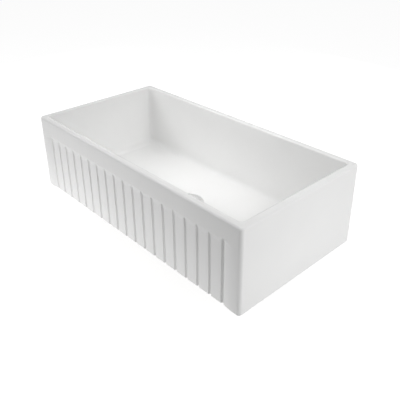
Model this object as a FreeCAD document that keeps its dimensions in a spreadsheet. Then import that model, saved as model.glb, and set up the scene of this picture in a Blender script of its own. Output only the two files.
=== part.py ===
"""A farmhouse sink with a fluted apron front, and the basket strainer in its drain.

The frame: +Z up, +X to the right as seen from the front, the apron faces -Y. The origin is on the
drain's axis, in the plane of the sink's underside. Everything is in millimetres.
"""
import FreeCAD, Part
import math
import os
from types import SimpleNamespace

import Sketcher
from FreeCAD import Vector

# ---------------------------------------------------------------------------------------------
# Driving dimensions. Each becomes one cell of the sheet "Sizes", under the same name.
# ---------------------------------------------------------------------------------------------
SIZES = {
    # the fireclay body
    "overall_width": 911,
    "overall_depth": 460,
    "overall_height": 251,
    "rim_width": 21,
    "outer_corner_radius": 10,
    "rim_outer_round": 7,
    "rim_inner_round": 5,
    "base_round": 4,
    "basin_draft_angle": 1,
    "floor_round": 20,
    "basin_corner_extra": 0.5,
    "floor_thickness": 26,
    "floor_fall": 4,
    # the fluted apron
    "apron_top_strip": 53,
    "apron_side_frame": 20,
    "panel_setback": 3,
    "panel_end_setback": 4.5,
    "panel_end_round": 120,
    "panel_foot_round": 5,
    "flute_count": 19,
    "flute_end_gap": 40.4,
    "flute_radius": 4.8,
    "flute_depth": 4.6,
    "flute_top_gap": 5,
    "flute_tip_length": 15,
    "flute_tip_round": 38,
    # the drain in the floor
    "drain_seat_diameter": 118,
    "drain_seat_depth": 4,
    "drain_seat_round": 2,
    "drain_ledge": 14,
    # the strainer
    "gasket_thickness": 1.5,
    "gasket_inset": 1.5,
    "flange_thickness": 2,
    "flange_lip_round": 3.5,
    "bowl_wall": 2.5,
    "bowl_depth": 52,
    "bowl_round": 5,
    "strainer_floor": 2.5,
    "outlet_opening_diameter": 38,
    "outlet_thread_diameter": 48,
    "outlet_wall": 3,
    "outlet_length": 20,
    "cross_bar_width": 4,
    "socket_diameter": 13,
    "socket_length": 9,
    "catch_ring_diameter": 9.8,
    "catch_ring_thickness": 1.4,
    "catch_ring_gap": 3,
    # what clamps the strainer under the sink
    "washer_lap": 9,
    "rubber_washer_thickness": 3,
    "friction_ring_thickness": 1.2,
    "locknut_wall": 7.9,
    "locknut_height": 12,
    "lug_count": 8,
    "lug_width": 10,
    "lug_reach": 5,
    # the tailpiece and its nut
    "tail_washer_thickness": 2,
    "tail_flange_thickness": 1.5,
    "tail_diameter": 38.1,
    "tail_wall": 1.2,
    "tail_length": 102,
    "coupling_across_flats": 58,
    "coupling_height": 22,
    "coupling_lip": 3,
    # the basket
    "post_diameter": 6.4,
    "post_tail": 10,
    "post_disc_diameter": 26,
    "post_disc_thickness": 1.6,
    "stopper_diameter": 50,
    "stopper_height": 5,
    "cup_floor_diameter": 56,
    "cup_height": 32,
    "cup_wall": 1,
    "cup_bead": 1.6,
    "slot_count": 20,
    "slot_width": 3,
    "slot_length": 14,
    "hole_diameter": 3.6,
    "inner_hole_count": 8,
    "inner_hole_circle": 24,
    "outer_hole_count": 14,
    "outer_hole_circle": 42,
    "knob_diameter": 24,
    "knob_waist_diameter": 11,
    "knob_height": 37,
    "knob_head_height": 11,
    # clearances
    "flange_clearance": 1.85,
    "hole_clearance": 2,
    "cup_clearance": 1.4,
    "tail_flange_clearance": 1,
    "slip_clearance": 0.9,
    "running_clearance": 0.05,
    "thread_clearance": 0.1,
    "resting_gap": 0.2,
}

OUTSIDE = 2.0  # how far a cut starts outside the material
FLUSH = 0.05  # how far a cut's line stands off the face that it would otherwise lie in
HEX_CORNER = 2 / math.sqrt(3)  # a hexagon's corner radius for half its width across flats
NEAR = 1e-3  # how near two lengths are when they count as the same


class Size:
    """A length that carries both its number and its formula in the sheet."""

    def __init__(self, number, formula):
        self.number = float(number)
        self.formula = formula

    def join(self, sign, other, number):
        return Size(number, f"({self.formula} {sign} {other.formula})")

    def __add__(self, other):
        other = size_of(other)
        return self.join("+", other, self.number + other.number)

    def __sub__(self, other):
        other = size_of(other)
        return self.join("-", other, self.number - other.number)

    def __mul__(self, other):
        other = size_of(other)
        return self.join("*", other, self.number * other.number)

    def __truediv__(self, other):
        other = size_of(other)
        return self.join("/", other, self.number / other.number)

    def __radd__(self, other):
        return size_of(other) + self

    def __rsub__(self, other):
        return size_of(other) - self

    def __rmul__(self, other):
        return size_of(other) * self

    def __neg__(self):
        return Size(-self.number, f"(-{self.formula})")


def size_of(value):
    """The value itself if it is a Size, or else a plain number as one."""
    return value if isinstance(value, Size) else Size(value, f"{float(value):.6f}")


def make_sheet(doc):
    """Write the driving dimensions into a spreadsheet and return them as Sizes."""
    sheet = doc.addObject("Spreadsheet::Sheet", "Sizes")
    for row, (name, value) in enumerate(SIZES.items(), 1):
        sheet.set(f"A{row}", name)
        sheet.set(f"B{row}", str(value))
        sheet.setAlias(f"B{row}", name)
    doc.recompute()
    return SimpleNamespace(**{name: Size(value, f"Sizes.{name}") for name, value in SIZES.items()})


doc = FreeCAD.newDocument("ApronSink")
s = make_sheet(doc)
bodies = []


# ---------------------------------------------------------------------------------------------
# Ways of making: bodies, sketches and features that are bound to the sheet
# ---------------------------------------------------------------------------------------------
def new_body(name, lift=None):
    """A sub-part with its own name, raised by the length lift."""
    body = doc.addObject("PartDesign::Body", name)
    body.Label = name
    if lift is not None:
        body.setExpression("Placement.Base.z", lift.formula)
    bodies.append(body)
    return body


def origin_feature(body, role):
    """One of the body's own origin planes or axes."""
    return next(item for item in body.Origin.OriginFeatures if item.Role == role)


def new_sketch(body, name, plane, offset=None, slide=None):
    """A sketch on an origin plane, moved along its normal by offset and along its x by slide."""
    sketch = body.newObject("Sketcher::SketchObject", name)
    sketch.AttachmentSupport = [(origin_feature(body, plane), "")]
    sketch.MapMode = "FlatFace"
    if offset is not None:
        sketch.setExpression("AttachmentOffset.Base.z", size_of(offset).formula)
    if slide is not None:
        sketch.setExpression("AttachmentOffset.Base.x", size_of(slide).formula)
    return sketch


def hold(sketch, kind, value, *places):
    """Add a constraint whose value follows the sheet."""
    value = size_of(value)
    index = sketch.addConstraint(Sketcher.Constraint(kind, *places, value.number))
    if "Sizes." in value.formula:
        name = f"{kind}_{index}"
        sketch.renameConstraint(index, name)
        sketch.setExpression(f"Constraints.{name}", value.formula)


def hold_point(sketch, geometry, end, x, y):
    """Hold a point at x and y from the sketch's origin."""
    hold(sketch, "DistanceX", x, -1, 1, geometry, end)
    hold(sketch, "DistanceY", y, -1, 1, geometry, end)


def tangent_points(before, corner, after, radius):
    """Where a rounding of this radius meets the two sides of a corner, and its centre."""
    back = (before - corner).normalize()
    on = (after - corner).normalize()
    half = back.getAngle(on) / 2
    reach = radius / math.tan(half)
    middle = (back + on).normalize()
    return corner + back * reach, corner + on * reach, corner + middle * (radius / math.sin(half))


def draw_outline(sketch, corners):
    """A closed outline of straight sides. A corner is (x, y), or (x, y, radius) where it is rounded."""
    points = [Vector(size_of(c[0]).number, size_of(c[1]).number, 0) for c in corners]
    count = len(points)
    starts = list(points)
    ends = list(points)
    centres = {}
    for i, corner in enumerate(corners):
        if len(corner) == 3:
            radius = size_of(corner[2]).number
            ends[i], starts[i], centres[i] = tangent_points(
                points[i - 1], points[i], points[(i + 1) % count], radius
            )
    for i in range(count):
        sketch.addGeometry(Part.LineSegment(starts[i], ends[(i + 1) % count]), False)
    for i, corner in enumerate(corners):
        line_in = (i - 1) % count
        if i not in centres:
            sketch.addConstraint(Sketcher.Constraint("Coincident", line_in, 2, i, 1))
            hold_point(sketch, i, 1, corner[0], corner[1])
            continue
        turn = (ends[i] - points[i]).cross(starts[i] - points[i]).z
        first, last = (ends[i], starts[i]) if turn < 0 else (starts[i], ends[i])
        radius = (ends[i] - centres[i]).Length
        angles = [math.atan2(p.y - centres[i].y, p.x - centres[i].x) for p in (first, last)]
        if angles[1] < angles[0]:
            angles[1] += 2 * math.pi
        circle = Part.Circle(centres[i], Vector(0, 0, 1), radius)
        arc = sketch.addGeometry(Part.ArcOfCircle(circle, *angles), False)
        arc_in, arc_out = (1, 2) if turn < 0 else (2, 1)
        sketch.addConstraint(Sketcher.Constraint("Tangent", line_in, 2, arc, arc_in))
        sketch.addConstraint(Sketcher.Constraint("Tangent", i, 1, arc, arc_out))
        hold(sketch, "Radius", corner[2], arc)
        tip = sketch.addGeometry(Part.Point(points[i]), True)
        sketch.addConstraint(Sketcher.Constraint("PointOnObject", tip, 1, line_in))
        sketch.addConstraint(Sketcher.Constraint("PointOnObject", tip, 1, i))
        hold_point(sketch, tip, 1, corner[0], corner[1])


def draw_box(sketch, half_width, half_depth, radius=None):
    """A rectangle about the sketch's origin, with rounded corners if a radius is given."""
    extra = () if radius is None else (radius,)
    draw_outline(
        sketch,
        [
            (-half_width, -half_depth, *extra),
            (half_width, -half_depth, *extra),
            (half_width, half_depth, *extra),
            (-half_width, half_depth, *extra),
        ],
    )


def draw_circle(sketch, radius, x=0.0, y=0.0):
    """A circle whose centre is at x and y from the sketch's origin."""
    radius, x, y = size_of(radius), size_of(x), size_of(y)
    centre = Vector(x.number, y.number, 0)
    circle = sketch.addGeometry(Part.Circle(centre, Vector(0, 0, 1), radius.number), False)
    hold(sketch, "Radius", radius, circle)
    hold_point(sketch, circle, 3, x, y)


def pad(body, name, sketch, length, reverse=False):
    """Material raised from a sketch."""
    feature = body.newObject("PartDesign::Pad", name)
    feature.Profile = sketch
    feature.setExpression("Length", size_of(length).formula)
    feature.Reversed = reverse
    return feature


def pocket(body, name, sketch, length, upward=False, draft=None):
    """Material cut away from a sketch, downwards (against its normal) unless upward is set."""
    feature = body.newObject("PartDesign::Pocket", name)
    feature.Profile = sketch
    feature.setExpression("Length", size_of(length).formula)
    feature.Reversed = upward
    if draft is not None:
        feature.setExpression("TaperAngle", draft.formula)
    return feature


def turn(body, name, corners, cut=False, offset=None, slide=None):
    """A profile of (radius, height) corners, turned about the upright axis."""
    sketch = new_sketch(body, f"{name}_profile", "XZ_Plane", offset, slide)
    draw_outline(sketch, corners)
    feature = body.newObject("PartDesign::Groove" if cut else "PartDesign::Revolution", name)
    feature.Profile = sketch
    feature.ReferenceAxis = (sketch, ["V_Axis"])
    feature.Angle = 360
    return feature


def repeat_round(body, name, feature, count):
    """Copies of a feature at even steps about the upright axis."""
    pattern = body.newObject("PartDesign::PolarPattern", name)
    pattern.Originals = [feature]
    pattern.Axis = (origin_feature(body, "Z_Axis"), [""])
    pattern.Angle = 360
    pattern.setExpression("Occurrences", count.formula)
    body.Tip = pattern
    return pattern


def repeat_along(body, name, feature, count, pitch):
    """Copies of a feature at even steps along +X."""
    pattern = body.newObject("PartDesign::LinearPattern", name)
    pattern.Originals = [feature]
    pattern.Direction = (origin_feature(body, "X_Axis"), [""])
    pattern.setExpression("Length", (pitch * (count - 1)).formula)
    pattern.setExpression("Occurrences", count.formula)
    body.Tip = pattern
    return pattern


def round_edges(body, name, base, wanted, radius):
    """Round the edges of the base feature that the test picks."""
    doc.recompute()
    picked = [f"Edge{i}" for i, edge in enumerate(base.Shape.Edges, 1) if wanted(edge)]
    feature = body.newObject("PartDesign::Fillet", name)
    feature.Base = (base, picked)
    feature.setExpression("Radius", radius.formula)
    return feature


def lies_at(edge, height):
    """Whether an edge lies in the level plane at this height."""
    box = edge.BoundBox
    return abs(box.ZMin - height.number) < NEAR and abs(box.ZMax - height.number) < NEAR


def lies_within(edge, half_width, half_depth):
    """Whether the middle of an edge lies inside this rectangle about the axis."""
    middle = edge.BoundBox.Center
    return abs(middle.x) < half_width.number and abs(middle.y) < half_depth.number


# ---------------------------------------------------------------------------------------------
# Places that several pieces share
# ---------------------------------------------------------------------------------------------
half_width = s.overall_width / 2
half_depth = s.overall_depth / 2
basin_half_width = half_width - s.rim_width
basin_half_depth = half_depth - s.rim_width
basin_corner_radius = s.floor_round + s.basin_corner_extra
floor_edge = s.floor_thickness + s.floor_fall
seat_height = s.floor_thickness - s.drain_seat_depth
flange_radius = s.drain_seat_diameter / 2 - s.flange_clearance
flange_height = seat_height + s.gasket_thickness
drain_hole_radius = s.drain_seat_diameter / 2 - s.drain_ledge
thread_radius = drain_hole_radius - s.hole_clearance
thread_bore_radius = thread_radius + s.thread_clearance
bowl_radius = thread_radius - s.bowl_wall
bowl_floor = flange_height + s.flange_thickness - s.bowl_depth
outlet_end = bowl_floor - s.strainer_floor - s.outlet_length
tail_top = outlet_end - s.tail_washer_thickness
tail_bore_radius = s.tail_diameter / 2 - s.tail_wall
tail_flange_radius = s.outlet_thread_diameter / 2 - s.tail_flange_clearance
locknut_top = -(s.rubber_washer_thickness + s.friction_ring_thickness)
basket_rest = bowl_floor + s.resting_gap
cup_rest = basket_rest + s.stopper_height + s.resting_gap
knob_rest = cup_rest + s.cup_wall + s.resting_gap
post_bore_radius = s.post_diameter / 2 + s.running_clearance


# ---------------------------------------------------------------------------------------------
# The fireclay body
# ---------------------------------------------------------------------------------------------
def shape_basin(body):
    """The block, its drafted basin, the floor that falls to the drain, and the stepped drain hole."""
    outer = new_sketch(body, "outer_outline", "XY_Plane")
    draw_box(outer, half_width, half_depth, s.outer_corner_radius)
    pad(body, "block", outer, s.overall_height)

    mouth = new_sketch(body, "basin_outline", "XY_Plane", s.overall_height)
    draw_box(mouth, basin_half_width, basin_half_depth)
    basin = pocket(body, "basin", mouth, s.overall_height - floor_edge, draft=-s.basin_draft_angle)

    foot_inset = s.floor_round * 1.5
    drain_half = s.drain_seat_diameter / 2 + s.drain_seat_round * 3
    high = new_sketch(body, "floor_edge_outline", "XY_Plane", floor_edge)
    draw_box(high, basin_half_width - foot_inset, basin_half_depth - foot_inset, basin_corner_radius)
    low = new_sketch(body, "floor_drain_outline", "XY_Plane", s.floor_thickness)
    draw_box(low, drain_half, drain_half, s.drain_seat_diameter / 2)
    fall = body.newObject("PartDesign::SubtractiveLoft", "floor_slope")
    fall.Profile = high
    fall.Sections = [low]
    fall.Ruled = True

    seat = new_sketch(body, "drain_seat_outline", "XY_Plane", seat_height)
    draw_circle(seat, s.drain_seat_diameter / 2)
    pocket(body, "drain_seat", seat, s.drain_seat_depth + s.floor_fall, upward=True)
    hole = new_sketch(body, "drain_hole_outline", "XY_Plane", seat_height)
    draw_circle(hole, drain_hole_radius)
    return pocket(body, "drain_hole", hole, seat_height + OUTSIDE)


def round_body(body, base):
    """The soft glazed edges: floor, basin, rim, foot and the lip of the drain's seat."""
    mid_rim = (half_width - s.rim_width / 2, half_depth - s.rim_width / 2)
    foot_of_wall = (basin_half_width - s.floor_round, basin_half_depth - s.floor_round)
    seat_width = s.drain_seat_diameter.number
    underside = size_of(0)

    def on_floor(edge):
        return lies_at(edge, floor_edge) and not lies_within(edge, *foot_of_wall)

    def on_basin_corner(edge):
        return edge.BoundBox.ZLength > s.overall_height.number / 2 and lies_within(edge, *mid_rim)

    def on_basin_mouth(edge):
        return lies_at(edge, s.overall_height) and lies_within(edge, *mid_rim)

    def on_top_outline(edge):
        return lies_at(edge, s.overall_height) and not lies_within(edge, *mid_rim)

    def on_foot_outline(edge):
        return lies_at(edge, underside) and not lies_within(edge, *mid_rim)

    def on_seat_lip(edge):
        return lies_at(edge, s.floor_thickness) and abs(edge.BoundBox.XLength - seat_width) < NEAR

    for name, wanted, radius in (
        ("basin_corner", on_basin_corner, basin_corner_radius),
        ("floor_corner", on_floor, s.floor_round),
        ("rim_inner_edge", on_basin_mouth, s.rim_inner_round),
        ("rim_outer_edge", on_top_outline, s.rim_outer_round),
        ("foot_edge", on_foot_outline, s.base_round),
        ("drain_lip", on_seat_lip, s.drain_seat_round),
    ):
        base = round_edges(body, name, base, wanted, radius)
    return base


def flute_apron(body):
    """The recessed panel of the apron, its rounded foot, and the row of flutes."""
    front = -half_depth
    panel_top = s.overall_height - s.apron_top_strip
    panel_edge = half_width - s.apron_side_frame
    last_flute = panel_edge - s.flute_end_gap
    flute_pitch = last_flute * 2 / (s.flute_count - 1)
    fall_middle = (panel_edge + last_flute) / 2
    band = front + s.panel_setback
    end_band = front + s.panel_end_setback

    section = new_sketch(body, "panel_section", "XY_Plane")
    draw_outline(
        section,
        [
            (-panel_edge, front - OUTSIDE),
            (panel_edge, front - OUTSIDE),
            (panel_edge, front - FLUSH),
            (fall_middle, front - FLUSH, s.panel_end_round),
            (last_flute, end_band),
            (last_flute, band),
            (-last_flute, band),
            (-last_flute, end_band),
            (-fall_middle, front - FLUSH, s.panel_end_round),
            (-panel_edge, front - FLUSH),
        ],
    )
    pocket(body, "panel", section, panel_top, upward=True)

    foot = new_sketch(body, "panel_foot_section", "YZ_Plane")
    draw_outline(
        foot,
        [
            (band - OUTSIDE, -OUTSIDE),
            (band + s.panel_foot_round * 2, -OUTSIDE),
            (band + s.panel_foot_round * 2, 0.0),
            (band, 0.0, s.panel_foot_round),
            (band, s.panel_foot_round * 2),
            (band - OUTSIDE, s.panel_foot_round * 2),
        ],
    )
    foot_cut = pocket(body, "panel_foot", foot, last_flute * 2)
    foot_cut.Midplane = True

    tip = panel_top - s.flute_top_gap
    flute = turn(
        body,
        "flute",
        [
            (0.0, -OUTSIDE),
            (s.flute_radius, -OUTSIDE),
            (s.flute_radius, tip - s.flute_tip_length, s.flute_tip_round),
            (0.0, tip),
        ],
        cut=True,
        offset=-(band - (s.flute_radius - s.flute_depth)),
        slide=-last_flute,
    )
    return repeat_along(body, "flutes", flute, s.flute_count, flute_pitch)


def make_sink_body():
    """The fired fireclay bowl, in one piece with its apron."""
    body = new_body("sink_body")
    round_body(body, shape_basin(body))
    flute_apron(body)


# ---------------------------------------------------------------------------------------------
# The strainer and what clamps it
# ---------------------------------------------------------------------------------------------
def make_ring(name, lift, inner_radius, outer_radius, thickness):
    """A flat ring that stands on the height lift."""
    body = new_body(name, lift)
    turn(
        body,
        "ring",
        [(inner_radius, 0.0), (outer_radius, 0.0), (outer_radius, thickness), (inner_radius, thickness)],
    )
    return body


def make_strainer_body():
    """Flange, bowl, threaded outlet, and the cross with the socket that takes the basket's post."""
    body = new_body("strainer_body", flange_height)
    flange = flange_radius
    bowl = bowl_radius
    thread = thread_radius
    opening = s.outlet_opening_diameter / 2
    outlet = s.outlet_thread_diameter / 2
    floor_top = s.flange_thickness - s.bowl_depth
    floor_under = floor_top - s.strainer_floor
    end = floor_under - s.outlet_length
    turn(
        body,
        "shell",
        [
            (thread, 0.0),
            (flange, 0.0),
            (flange, s.flange_thickness * 0.6),
            (flange - s.flange_thickness * 2, s.flange_thickness),
            (bowl, s.flange_thickness, s.flange_lip_round),
            (bowl, floor_top, s.bowl_round),
            (opening, floor_top),
            (opening, floor_under),
            (outlet - s.outlet_wall, floor_under),
            (outlet - s.outlet_wall, end),
            (outlet, end),
            (outlet, floor_under),
            (bowl - s.bowl_round, floor_under),
            (thread, floor_top + s.bowl_round),
        ],
    )
    bar = s.cross_bar_width / 2
    reach = opening + s.outlet_wall / 2
    cross = new_sketch(body, "cross_outline", "XY_Plane", floor_under)
    draw_outline(
        cross,
        [
            (-reach, -bar), (-bar, -bar), (-bar, -reach), (bar, -reach),
            (bar, -bar), (reach, -bar), (reach, bar), (bar, bar),
            (bar, reach), (-bar, reach), (-bar, bar), (-reach, bar),
        ],
    )
    pad(body, "cross", cross, s.strainer_floor)
    socket = new_sketch(body, "socket_outline", "XY_Plane", floor_top - s.socket_length)
    draw_circle(socket, s.socket_diameter / 2)
    pad(body, "socket", socket, s.socket_length)
    bore = new_sketch(body, "socket_bore_outline", "XY_Plane", floor_top)
    draw_circle(bore, post_bore_radius)
    pocket(body, "socket_bore", bore, s.socket_length + OUTSIDE)
    counterbore = new_sketch(body, "catch_seat_outline", "XY_Plane", floor_top - s.socket_length)
    draw_circle(counterbore, s.catch_ring_diameter / 2 + s.running_clearance)
    pocket(body, "catch_seat", counterbore, s.catch_ring_thickness, upward=True)


def make_catch_ring():
    """The split spring ring at the foot of the strainer's socket."""
    body = make_ring(
        "catch_ring",
        bowl_floor - s.socket_length,
        post_bore_radius,
        s.catch_ring_diameter / 2,
        s.catch_ring_thickness,
    )
    split = new_sketch(body, "split_outline", "XY_Plane")
    half_gap = s.catch_ring_gap / 2
    reach = s.catch_ring_diameter
    draw_outline(split, [(0.0, -half_gap), (reach, -half_gap), (reach, half_gap), (0.0, half_gap)])
    pocket(body, "split", split, s.catch_ring_thickness, upward=True)


def make_clamp():
    """The gasket under the flange, and the washer, ring and nut under the sink."""
    make_ring(
        "flange_gasket",
        seat_height,
        drain_hole_radius,
        flange_radius - s.gasket_inset,
        s.gasket_thickness,
    )
    washer = drain_hole_radius + s.washer_lap
    lift = -s.rubber_washer_thickness
    make_ring("rubber_washer", lift, thread_bore_radius, washer, s.rubber_washer_thickness)
    make_ring("friction_ring", locknut_top, thread_bore_radius, washer, s.friction_ring_thickness)

    body = new_body("locknut", locknut_top - s.locknut_height)
    nut = thread_bore_radius + s.locknut_wall
    step = s.locknut_height / 3
    turn(
        body,
        "ring",
        [
            (thread_bore_radius, 0.0),
            (nut - step, 0.0),
            (nut - step, s.locknut_height - step),
            (nut, s.locknut_height - step),
            (nut, s.locknut_height),
            (thread_bore_radius, s.locknut_height),
        ],
    )
    lug = new_sketch(body, "lug_outline", "XY_Plane")
    half = s.lug_width / 2
    draw_outline(
        lug,
        [
            (nut - step * 2, -half),
            (nut + s.lug_reach - step, -half, s.lug_width / 5),
            (nut + s.lug_reach - step, half, s.lug_width / 5),
            (nut - step * 2, half),
        ],
    )
    repeat_round(body, "lugs", pad(body, "lug", lug, s.locknut_height), s.lug_count)


def make_tail():
    """The seal, the flanged tailpiece and the hexagon nut that holds it to the outlet."""
    flange = tail_flange_radius
    make_ring("tailpiece_washer", tail_top, tail_bore_radius, flange, s.tail_washer_thickness)

    body = new_body("tailpiece", tail_top)
    tube = s.tail_diameter / 2
    turn(
        body,
        "tube",
        [
            (tail_bore_radius, -s.tail_length),
            (tube, -s.tail_length),
            (tube, -s.tail_flange_thickness),
            (flange, -s.tail_flange_thickness),
            (flange, 0.0),
            (tail_bore_radius, 0.0, s.tail_wall),
        ],
    )

    lip_top = tail_top - s.tail_flange_thickness - s.thread_clearance
    body = new_body("coupling_nut", lip_top - s.coupling_lip)
    flat = s.coupling_across_flats / 2
    corner = flat * HEX_CORNER
    hexagon = new_sketch(body, "hexagon_outline", "XY_Plane")
    draw_outline(
        hexagon,
        [
            (corner, 0.0), (corner / 2, flat), (-corner / 2, flat),
            (-corner, 0.0), (-corner / 2, -flat), (corner / 2, -flat),
        ],
    )
    pad(body, "hexagon", hexagon, s.coupling_height)
    thread_bore = s.outlet_thread_diameter / 2 + s.thread_clearance
    lip_bore = tube + s.slip_clearance
    turn(
        body,
        "bore",
        [
            (0.0, -OUTSIDE),
            (lip_bore, -OUTSIDE),
            (lip_bore, s.coupling_lip),
            (thread_bore, s.coupling_lip),
            (thread_bore, s.coupling_height + OUTSIDE),
            (0.0, s.coupling_height + OUTSIDE),
        ],
        cut=True,
    )
    for name, face, out in (("top_chamfer", s.coupling_height, 1), ("foot_chamfer", size_of(0), -1)):
        turn(
            body,
            name,
            [
                (flat, face),
                (flat, face + out * OUTSIDE),
                (corner + OUTSIDE, face + out * OUTSIDE),
                (corner + OUTSIDE, face - (corner + OUTSIDE - flat) * out / 2),
            ],
            cut=True,
        )


# ---------------------------------------------------------------------------------------------
# The basket
# ---------------------------------------------------------------------------------------------
def make_stopper():
    """The rubber stopper, with the groove that grips the post's disc."""
    body = new_body("basket_stopper", basket_rest)
    outer = s.stopper_diameter / 2
    disc = s.post_disc_diameter / 2 + s.running_clearance
    low = (s.stopper_height - s.post_disc_thickness) / 2
    high = low + s.post_disc_thickness
    gap = s.running_clearance
    turn(
        body,
        "rubber",
        [
            (post_bore_radius, 0.0),
            (outer - low, 0.0),
            (outer, low),
            (outer, high),
            (outer - low / 2, s.stopper_height),
            (disc - low, s.stopper_height),
            (disc - low, high + gap),
            (disc, high + gap),
            (disc, low - gap),
            (post_bore_radius, low - gap),
        ],
    )


def make_post():
    """The post, with the disc that carries the stopper and the shank that goes up into the knob."""
    body = new_body("basket_post", basket_rest)
    rod = s.post_diameter / 2
    disc = s.post_disc_diameter / 2
    low = (s.stopper_height - s.post_disc_thickness) / 2
    high = low + s.post_disc_thickness
    shank_top = knob_rest - basket_rest + s.knob_height / 2
    turn(
        body,
        "rod",
        [
            (0.0, -s.post_tail),
            (rod / 2, -s.post_tail),
            (rod, -s.post_tail + rod),
            (rod, low),
            (disc, low),
            (disc, high),
            (rod, high),
            (rod, shank_top),
            (0.0, shank_top),
        ],
    )


def make_cup():
    """The perforated cup: a drafted wall with a rolled bead, slots round it and holes in its floor."""
    body = new_body("basket_cup", cup_rest)
    foot = s.cup_floor_diameter / 2
    wall = s.cup_wall
    bead = s.cup_bead
    mouth = bowl_radius - s.cup_clearance - bead
    turn(
        body,
        "shell",
        [
            (post_bore_radius, 0.0),
            (foot, 0.0, wall * 3),
            (mouth, s.cup_height - bead),
            (mouth + bead, s.cup_height - bead, bead / 3),
            (mouth + bead, s.cup_height, bead / 3),
            (mouth - wall, s.cup_height, bead / 3),
            (foot - wall, wall, wall * 2),
            (post_bore_radius, wall),
        ],
    )
    slot = new_sketch(body, "slot_outline", "XZ_Plane")
    half = s.slot_width / 2
    low = (s.cup_height - s.slot_length) / 2
    draw_outline(slot, [(-half, low), (half, low), (half, low + s.slot_length), (-half, low + s.slot_length)])
    repeat_round(body, "slots", pocket(body, "slot", slot, mouth + OUTSIDE), s.slot_count)
    rings = (
        ("inner", s.inner_hole_circle, s.inner_hole_count),
        ("outer", s.outer_hole_circle, s.outer_hole_count),
    )
    for name, circle, count in rings:
        hole = new_sketch(body, f"{name}_hole_outline", "XY_Plane")
        draw_circle(hole, s.hole_diameter / 2, circle / 2)
        cut = pocket(body, f"{name}_hole", hole, wall + OUTSIDE, upward=True)
        repeat_round(body, f"{name}_holes", cut, count)


def make_knob():
    """The turned knob, with the blind bore that the post's shank fills."""
    body = new_body("basket_knob", knob_rest)
    head = s.knob_diameter / 2
    waist = s.knob_waist_diameter / 2
    neck = s.knob_height - s.knob_head_height
    turn(
        body,
        "shape",
        [
            (0.0, s.knob_height / 2 + s.running_clearance),
            (post_bore_radius, s.knob_height / 2 + s.running_clearance),
            (post_bore_radius, 0.0),
            (waist * 1.5, 0.0),
            (waist * 1.5, s.cup_wall * 2),
            (waist, waist, waist),
            (waist, neck, waist),
            (head, neck, s.knob_head_height / 5),
            (head, s.knob_height - s.knob_head_height / 4, s.knob_head_height / 2),
            (0.0, s.knob_height),
        ],
    )


# ---------------------------------------------------------------------------------------------
# Build, check and write
# ---------------------------------------------------------------------------------------------
def check_document():
    """Stop if a feature failed, cut nothing, or left a shape that isn't one valid solid."""
    for item in doc.Objects:
        bad = [state for state in item.State if state in ("Invalid", "Error")]
        if bad:
            raise RuntimeError(f"{item.Label} is {bad}")
    cuts = ("PartDesign::Pocket", "PartDesign::Groove", "PartDesign::SubtractiveLoft")
    for item in doc.Objects:
        if item.TypeId in cuts and item.Shape.Volume > item.BaseFeature.Shape.Volume - NEAR:
            raise RuntimeError(f"{item.Label} in {item.getParentGeoFeatureGroup().Label} cuts nothing")
    for body in bodies:
        if body.Shape.isNull() or not body.Shape.isValid() or len(body.Shape.Solids) != 1:
            raise RuntimeError(f"{body.Label} is not one valid solid")


make_sink_body()
make_strainer_body()
make_catch_ring()
make_clamp()
make_tail()
make_post()
make_stopper()
make_cup()
make_knob()
doc.recompute()
check_document()
os.makedirs("parts", exist_ok=True)
for piece in bodies:
    piece.Shape.exportStep(f"parts/{piece.Label}.step")
    box = piece.Shape.BoundBox
    print(f"{piece.Label}: {piece.Shape.Volume / 1000:.1f} cm3, Z {box.ZMin:.2f} to {box.ZMax:.2f}")
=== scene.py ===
"""The looks of a farmhouse sink with a fluted apron front and a basket strainer in its drain.

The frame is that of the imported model: +Z up, the apron faces -Y, and the origin is on the drain's
axis in the plane of the sink's underside. Shapes are worked out in millimetres, and make_piece
turns them into metres.
"""

import math

import bpy
import numpy as np
from mathutils import Matrix, Vector


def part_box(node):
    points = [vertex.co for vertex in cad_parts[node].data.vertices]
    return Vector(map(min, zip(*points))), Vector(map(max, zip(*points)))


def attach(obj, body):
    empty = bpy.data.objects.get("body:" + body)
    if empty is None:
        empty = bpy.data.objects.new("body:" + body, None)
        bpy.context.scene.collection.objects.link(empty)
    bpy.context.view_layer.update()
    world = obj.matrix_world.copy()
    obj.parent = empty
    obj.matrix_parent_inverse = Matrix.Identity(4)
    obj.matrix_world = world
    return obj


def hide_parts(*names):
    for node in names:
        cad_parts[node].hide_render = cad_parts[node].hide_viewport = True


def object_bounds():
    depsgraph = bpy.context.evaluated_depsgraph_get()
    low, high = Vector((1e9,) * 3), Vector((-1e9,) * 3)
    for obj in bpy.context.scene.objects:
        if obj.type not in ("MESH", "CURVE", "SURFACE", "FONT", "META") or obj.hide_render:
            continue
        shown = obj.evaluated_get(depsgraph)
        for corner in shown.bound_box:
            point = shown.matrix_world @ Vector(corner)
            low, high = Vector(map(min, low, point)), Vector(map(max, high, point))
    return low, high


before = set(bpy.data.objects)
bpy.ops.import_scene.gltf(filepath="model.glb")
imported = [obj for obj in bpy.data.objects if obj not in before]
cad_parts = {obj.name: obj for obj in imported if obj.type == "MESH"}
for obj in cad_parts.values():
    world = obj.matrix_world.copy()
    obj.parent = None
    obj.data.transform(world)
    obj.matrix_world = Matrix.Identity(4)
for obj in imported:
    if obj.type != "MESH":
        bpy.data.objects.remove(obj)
CAD_BOX = [list(corner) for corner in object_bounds()]

MM = 0.001
TAU = 2 * math.pi

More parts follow.
